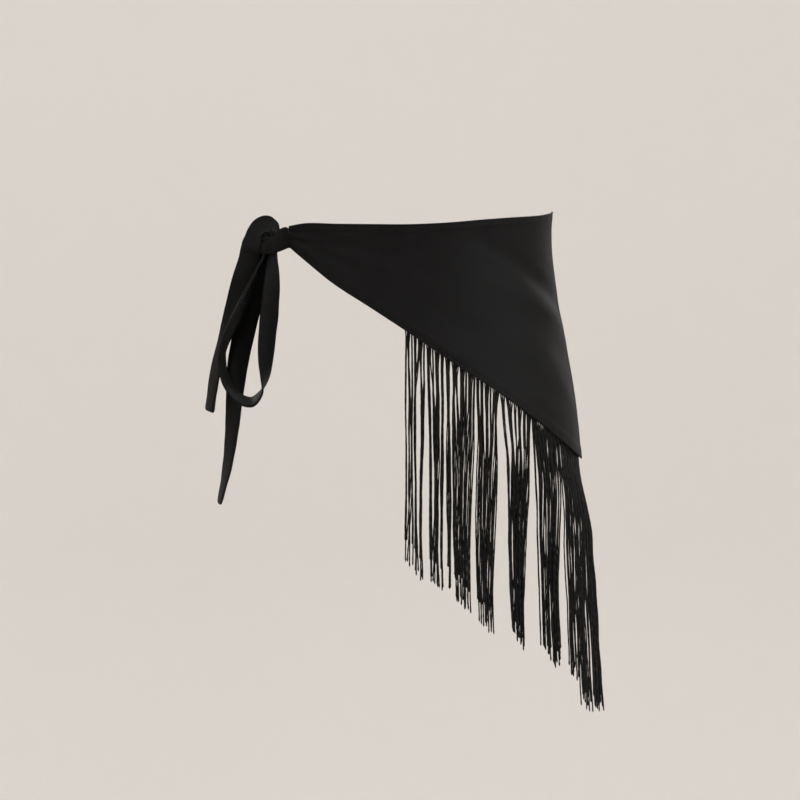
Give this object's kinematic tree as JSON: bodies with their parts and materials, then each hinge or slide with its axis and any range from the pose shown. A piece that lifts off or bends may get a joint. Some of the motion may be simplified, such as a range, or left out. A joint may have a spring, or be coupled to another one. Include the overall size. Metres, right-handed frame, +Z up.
{
  "type": "fringe belt",
  "caption": "Worn slantwise hip wrap of black cloth with a long thread fringe, tied in a half bow at the waist.",
  "frame": {"origin": "the middle of the waist opening, at the height of the belt's top edge", "axes": "+Z up, +X to the wearer's left, where the belt hangs deepest, -Y to the front"},
  "size_m": [0.3427, 0.2479, 0.4283],
  "materials": {
    "belt_cloth": "smooth black twill with a soft sheen",
    "tie_cloth": "the same smooth black twill, cut as narrow flat ties",
    "fringe_yarn": "twisted black thread with a slight gloss"
  },
  "bodies": {
    "root": {"front_panel": "belt_cloth", "back_panel": "belt_cloth", "short_tail": "tie_cloth", "long_tail": "tie_cloth", "bow_loop": "tie_cloth", "front_tie": "tie_cloth", "back_tie": "tie_cloth", "knot": "tie_cloth", "front_fringe": "fringe_yarn", "back_fringe": "fringe_yarn"}
  },
  "joints": []
}
